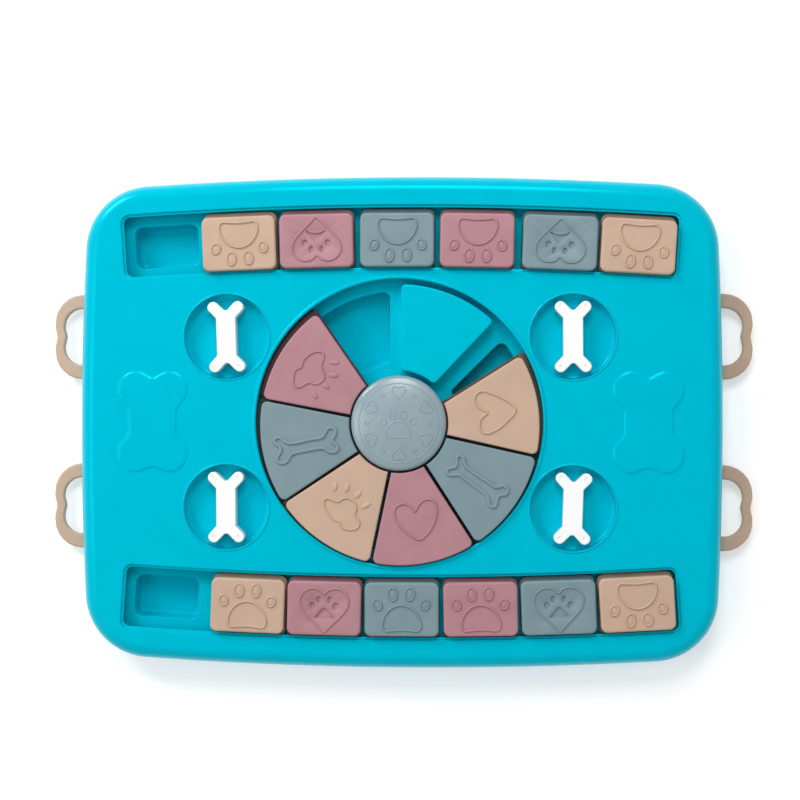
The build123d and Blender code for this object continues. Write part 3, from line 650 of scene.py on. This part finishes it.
kinds = ["paw", "heart", "paw", "paw", "heart", "paw"]
slots = ["tan_block", "pink_block", "bluegrey_block", "pink_block", "bluegrey_block", "tan_block"]
for i, x in enumerate(REAR_X):
    block("rear_block_%d" % (i + 1), "block_rear_%d" % (i + 1), x, 1, slots[i], kinds[i], True)
for i, x in enumerate(FRONT_X):
    block("front_block_%d" % (i + 1), "block_front_%d" % (i + 1), x, -1, slots[i], kinds[i], i == 5)

# ---------------------------------------------------------------- sliding wedges
PAD1 = [(-47.16, 42.59), (-45.65, 41.69), (-45.35, 38.68), (-46.55, 35.06), (-46.24, 32.05), (-45.03, 28.44), (-45.63, 25.43), (-48.04, 23.62), (-51.06, 23.01), (-53.48, 23.92), (-56.5, 23.01), (-58.92, 21.5), (-61.34, 21.2), (-63.15, 22.1), (-63.76, 24.21), (-63.46, 27.82), (-62.56, 31.14), (-60.75, 32.35), (-58.94, 33.25), (-57.73, 36.87), (-55.32, 39.88), (-51.69, 41.99)]
BONE1 = [(-74.6, -12.58), (-75.21, -10.77), (-73.39, -9.26), (-70.97, -9.56), (-69.15, -11.36), (-66.73, -12.56), (-63.1, -12.55), (-53.43, -10.42), (-46.18, -8.89), (-44.37, -6.48), (-42.56, -3.77), (-40.15, -3.16), (-38.03, -4.66), (-38.33, -7.37), (-39.84, -10.08), (-39.53, -11.89), (-37.72, -13.39), (-36.51, -15.19), (-37.41, -17.3), (-40.13, -17.91), (-42.54, -17.31), (-44.35, -15.81), (-46.77, -15.52), (-55.83, -17.05), (-63.69, -18.88), (-65.51, -20.39), (-66.71, -22.81), (-68.53, -24.32), (-70.95, -24.63), (-73.07, -23.43), (-73.07, -21.02), (-71.56, -18.3), (-70.96, -16.19), (-72.17, -14.38)]
PAD2 = [(-45.21, -48.02), (-44.31, -46.21), (-41.89, -45.9), (-39.48, -47.1), (-36.46, -47.68), (-34.05, -46.17), (-31.03, -45.55), (-28.01, -46.74), (-25.9, -49.14), (-25.59, -52.15), (-26.5, -54.56), (-25.59, -56.96), (-23.78, -59.36), (-24.07, -62.36), (-26.18, -64.18), (-29.8, -64.5), (-33.42, -63.61), (-35.23, -61.82), (-36.14, -59.72), (-38.85, -58.53), (-41.88, -55.83), (-44.3, -51.63)]
HEART1 = [(9.61, -53.49), (7.51, -50.79), (5.1, -49.3), (1.49, -49.02), (-1.51, -50.83), (-2.71, -53.54), (-2.1, -57.45), (0.31, -61.64), (3.92, -65.22), (8.13, -68.5), (11.74, -70.29), (13.54, -69.98), (17.14, -66.96), (20.13, -62.74), (22.23, -57.33), (22.82, -52.52), (21.91, -48.33), (19.51, -46.24), (16.51, -46.25), (13.51, -47.76), (11.41, -50.48)]
BONE2 = [(35.07, -20.68), (36.86, -19.78), (38.96, -20.97), (39.26, -23.67), (40.47, -26.36), (42.87, -28.45), (48.86, -32.63), (55.45, -36.8), (57.24, -38.29), (59.63, -38.58), (62.02, -37.67), (64.42, -38.56), (65.61, -40.65), (64.42, -42.75), (62.03, -43.36), (59.94, -43.97), (59.05, -45.77), (58.75, -48.16), (57.56, -50.27), (55.46, -50.28), (54.27, -48.78), (53.96, -45.79), (53.06, -43.7), (50.67, -41.61), (44.07, -36.84), (38.68, -32.96), (36.88, -31.47), (34.48, -31.18), (31.48, -31.49), (29.09, -30.6), (29.08, -28.5), (30.88, -27.29), (33.28, -26.99), (34.77, -25.78)]
HEART2 = [(53.29, 6.34), (50.0, 7.83), (47.3, 9.92), (45.5, 12.92), (45.79, 15.92), (47.59, 18.02), (50.58, 18.92), (54.77, 17.73), (60.75, 15.34), (65.54, 12.65), (68.83, 9.96), (70.03, 7.57), (68.54, 4.57), (64.96, 0.97), (60.78, -2.93), (56.6, -5.34), (53.01, -6.55), (50.32, -5.95), (48.82, -3.86), (48.51, -0.26), (49.7, 2.74), (51.8, 4.54)]
TOES1 = [(-38.7, 36.0, 3.1, 1.55, -4), (-39.3, 28.4, 3.2, 1.7, -3), (-44.1, 21.8, 2.7, 1.6, -30), (-50.75, 16.4, 2.9, 1.6, -55)]
TOES2 = [(-38.3, -38.7, 1.6, 3.1, -10), (-31.0, -39.2, 1.7, 3.2, -16), (-24.4, -43.4, 1.6, 3.2, -40), (-19.6, -50.0, 1.6, 3.4, -60)]
faces = [("pink_block", PAD1, TOES1), ("bluegrey_block", BONE1, None), ("tan_block", PAD2, TOES2), ("pink_block", HEART1, None), ("bluegrey_block", BONE2, None), ("tan_block", HEART2, None)]
TOP = 33.5
for i, a0 in enumerate(WEDGE_AT):
    slot, line, toes = faces[i]
    m = Mesh()
    h = 22.4

    # the two sides that face the open pockets stand further in
    lo_open, hi_open = (1.9 if a0 < 150 else 0.0), (1.9 if a0 > 360 else 0.0)

    def at(r0, r1, d, ro, ri):
        return clear_of(place(wedge(r0, r1, -h, h, d + lo_open, d + hi_open, ro, ri), 0, -0.7, radians(a0)), 0, -0.7, r0)

    def cap(r0, r1, d, ro, ri):
        return clear_of(place(wedge(27.6, r1, -h, h, d + lo_open, d + hi_open, ro, 0.8), 0.4, -2.05, radians(a0)), 0, -0.7, r0)
    F = [((32.0, 82.6, 3.8, 1.5, 1.0), 24.0), ((32.0, 82.6, 3.8, 1.5, 1.0), 20.3), ((26.6, 86.9, 0.75, 3.0, 1.0), 20.3), ((26.6, 86.9, 0.75, 3.0, 1.0), 26.0),
         ((26.9, 86.6, 1.05, 2.9, 1.0), 26.4)]
    C = [((30.6, 83.4, 1.85, 2.6, 1.1), 26.4), ((30.7, 83.2, 1.9, 2.5, 1.0), 26.6), ((30.7, 83.2, 1.9, 2.5, 1.0), 28.9),
         ((29.95, 83.9, 1.2, 3.1, 1.4), 28.9), ((29.75, 84.1, 1.0, 3.3, 1.5), 29.1), ((29.75, 84.1, 1.0, 3.3, 1.5), 31.5)]
    C += [((29.75 - o, 84.1 + o, 1.0 - o, 3.3 + o, 1.5 + o), z) for o, z in quarter(0.9, 0.0, TOP - 0.9, 6) + [(-1.3, TOP)]]
    a, b = m.loft([(at(*p), z) for p, z in F] + [(cap(*p), z) for p, z in C])
    m.fill(a)
    m.fill(b)
    p = spline(line, 150)
    if toes:
        m.ridge(p, 1.5, 1.0, TOP)
        for t in toes:
            m.mound(*t, 0.75, TOP)
    elif i in (1, 4):
        m.ridge(p, 2.2, 1.05, TOP, True)
    else:
        m.ridge(p, 1.5, 1.0, TOP)
    # feet and necks below 28.8 mm take the near-black painted shadow material
    m.build("sliding_wedge_%d" % (i + 1), mats[slot], "wedge_%d" % (i + 1), ["wedge_%d" % (i + 1)], 50, (painted_shadow_feet[slot], 28.8))

# ---------------------------------------------------------------- hub cap
HUB_Y = -0.5
DOME = [(28.65, 32.0), (28.65, 32.7), (28.6, 33.2), (28.42, 33.75), (28.13, 34.2), (27.75, 34.62), (27.2, 35.0), (26.55, 35.28), (25.75, 35.5)]


def dome_z(r):
    # crown of the cap
    R = 100.35
    if r < 25.75:
        return 38.86 - (R - sqrt(R * R - r * r))
    return 35.5


m = Mesh()
prof = [(14.8, 24.2), (18.5, 24.2), (18.5, 26.5), (16.8, 26.5), (16.8, 33.2), (26.4, 33.2), (26.6, 32.2), (26.8, 32.0), (28.45, 32.0), (28.65, 32.2)] + DOME[1:]
prof += [(r, dome_z(r)) for r in (25.0, 24.0, 22.0, 20.0, 18.0, 16.0, 14.0, 12.0, 10.0, 8.0, 6.0, 4.0, 2.0, 0.6)]
a, b = m.loft([(circle(r, 0, HUB_Y, 112), z) for r, z in prof])
m.fill(b)
a2, b2 = m.loft([(circle(14.8, 0, HUB_Y, 112), 24.2), (circle(14.8, 0, HUB_Y, 112), 33.0)])
m.fill(b2)
m.v = m.v  # the stem's inner wall shares the foot ring's place
for r0, r1 in ((a, a2),):
    m.band(r0, r1)


def zh(x, y):
    return dome_z(hypot(x, y - HUB_Y))


# generic line ornament: a paw in the middle, small hearts and dots round it
k = 0.62
m.ridge(place(PAD, 0, HUB_Y - 0.6, 0, k), 0.9, 0.3, zh)
for cx, cy, rx, ry, t in TOES:
    m.ridge(place(ellipse(cx, cy, rx, ry, t, 32), 0, HUB_Y - 0.6, 0, k), 0.8, 0.3, zh)
for j in range(6):
    a_ = radians(90 + 60 * j)
    if j % 2 == 0:
        q = place(HEART, 18.6 * cos(a_), HUB_Y + 18.6 * sin(a_), a_ - pi / 2, 0.27)
    else:
        q = place(HEART, 18.6 * cos(a_), HUB_Y + 18.6 * sin(a_), a_ - pi / 2, 0.27)
    m.ridge(resample(q, 60), 0.75, 0.3, zh)
    b_ = a_ + radians(30)
    m.ridge(ellipse(18.9 * cos(b_), HUB_Y + 18.9 * sin(b_), 1.1, 1.1), 0.7, 0.3, zh)
m.ridge(circle(23.9, 0, HUB_Y, 120), 0.7, 0.22, zh)
m.build("hub_cap", mats["hub_satin"], "hub_button", ["hub_button"], 40)

# ---------------------------------------------------------------- bones in the cups
BONE_Q = [(5.95, 11.3, 0.8), (12.25, 18.0, 3.3), (7.45, 22.8, 3.3), (0.95, 16.2, 1.0)]
BONE = BONE_Q + [(-x, y, r) for x, y, r in reversed(BONE_Q[:-1])]
BONE = [(x, y, r) for x, y, r in BONE_Q[:3]] + [(0.95, 16.1, 0.9), (-0.95, 16.1, 0.9)] + [(-x, y, r) for x, y, r in reversed(BONE_Q[:3])] + \
       [(-x, -y, r) for x, y, r in BONE_Q[:3]] + [(-0.95, -16.1, 0.9), (0.95, -16.1, 0.9)] + [(x, -y, r) for x, y, r in reversed(BONE_Q[:3])]
for nm, turn in (("rear_left", 2.0), ("rear_right", 0.4), ("front_left", 0.6), ("front_right", -1.9)):
    sx = 1 if "right" in nm else -1
    sy = 1 if "rear" in nm else -1
    cx, cy, t = sx * CUP_X, sy * CUP_Y, radians(turn)
    m = Mesh()
    prof = [(-0.3, 22.9), (0.0, 23.2), (0.0, 27.0)] + quarter(0.8, 0.0, 30.8, 5) + [(-1.15, 31.6)]
    a, b = m.loft([(place(rpoly(BONE, o), cx, cy, t), z) for o, z in prof])
    holes = []
    for ux in (1, -1):
        for uy in (1, -1):
            q = ellipse(ux * 7.5, uy * 18.0, 1.0, 1.3, -45 * ux * uy, 24)
            a1, b1 = m.loft([(place(grow(q, o), cx, cy, t), z) for o, z in ((0.35, 31.6), (0.1, 31.55), (-0.2, 31.3), (-0.5, 31.15))])
            m.fill(b1)
            holes.append(a1)
    m.fill(b, holes)
    peg = circle(4.0, cx, cy, 40)
    p0, p1 = m.loft([(peg, 22.9), (peg, 19.7), (circle(3.6, cx, cy, 40), 19.2)])
    m.fill(p1)
    m.fill(a, [p0])
    m.build("white_bone_" + nm, mats["white_gloss"], "bone_" + nm, ["bone_" + nm], 40)

# ---------------------------------------------------------------- carrying loops
LOOP_OUT = [(176.0, -26.4, 3.0), (215.6, -26.4, 17.5), (215.6, -6.0, 5.0), (214.3, 0.0, 5.0), (215.6, 6.0, 5.0), (215.6, 26.4, 17.5), (176.0, 26.4, 3.0)]
LOOP_IN = [(194.2, -17.5, 1.5), (209.6, -17.5, 11.0), (209.6, -5.5, 3.0), (208.3, 0.0, 4.0), (209.6, 5.5, 3.0), (209.6, 17.5, 11.0), (194.2, 17.5, 1.5)]
for sx, sn in ((1, "right"), (-1, "left")):
    for sy, fn in ((1, "rear"), (-1, "front")):
        m = Mesh()

        def at(p):
            q = [(sx * x, sy * 52.5 + y) for x, y in p]
            return q if sx > 0 else q[::-1]
        prof = [(-1.0, 5.0), (-0.3, 5.2), (0.0, 5.8), (0.0, 7.6)] + quarter(1.3, 0.0, 7.7, 5)[1:] + [(-1.7, 9.0)]
        a, b = m.loft([(at(rpoly(LOOP_OUT, o)), z) for o, z in prof])
        c, d = m.loft([(at(rpoly(LOOP_IN, -o)), z) for o, z in prof])
        m.fill(b, [d])
        m.fill(a, [c])
        m.build("loop_%s_%s" % (fn, sn), mats["tan_block"], "tray", ["handle_%s_%s" % (fn, sn)], 40)

# ---------------------------------------------------------------- pieces carried over from the part
slot_of = {s["node"]: s["material_slot"] for s in frame["record"]["subparts"]}
for name, ob in frame["nodes"].items():
    me = ob.data
    me.materials.clear()
    me.materials.append(mats[slot_of[name]])

# ---------------------------------------------------------------- floor, light, camera
fl = bpy.data.meshes.new("floor")
fl.from_pydata([(-6, -6, 0), (6, -6, 0), (6, 6, 0), (-6, 6, 0)], [], [(0, 1, 2, 3)])
floor = bpy.data.objects.new("floor", fl)
bpy.context.scene.collection.objects.link(floor)
fm, fnt, fb = shader("floor_white", (0.85, 0.85, 0.85), 0.9, 0.1)
fb.inputs["Emission Color"].default_value = (1, 1, 1, 1)
fb.inputs["Emission Strength"].default_value = 0.32
fl.materials.append(fm)

world = bpy.data.worlds.new("studio")
bpy.context.scene.world = world
world.use_nodes = True
world.node_tree.nodes["Background"].inputs["Color"].default_value = (1, 1, 1, 1)
world.node_tree.nodes["Background"].inputs["Strength"].default_value = 0.55


def area(name, loc, target, size, energy, size_y=None):
    li = bpy.data.lights.new(name, "AREA")
    li.shape = "RECTANGLE"
    li.size = size
    li.size_y = size_y or size
    li.energy = energy
    ob = bpy.data.objects.new(name, li)
    bpy.context.scene.collection.objects.link(ob)
    ob.location = loc
    ob.rotation_euler = (Vector(target) - Vector(loc)).to_track_quat("-Z", "Y").to_euler()
    return ob


area("rear", (0.0, 0.85, 1.15), (0, 0, 0), 0.5, 7.2)
area("left", (-0.85, 0.0, 1.15), (0, 0, 0), 0.5, 2.5)
area("corner", (-1.0, 1.0, 0.85), (0, 0, 0), 0.5, 10.6)

cam_data = bpy.data.cameras.new("camera")
cam = bpy.data.objects.new("camera", cam_data)
bpy.context.scene.collection.objects.link(cam)
cam_data.sensor_width = 36.0
cam_data.sensor_fit = "HORIZONTAL"
cam_data.lens = 66.51
cam_data.clip_start = 0.01
cam_data.clip_end = 50.0
rows = [[0.99908553, -0.00145474, 0.04273165], [0.00149961, 0.99999836, -0.00101797], [-0.0427301, 0.00108112, 0.99908607]]
cam.matrix_world = Matrix.Translation((0.03874, 0.01255, 0.89063 + 0.030)) @ Matrix(rows).to_4x4()
bpy.context.scene.camera = cam
bpy.context.scene.view_settings.view_transform = "Standard"
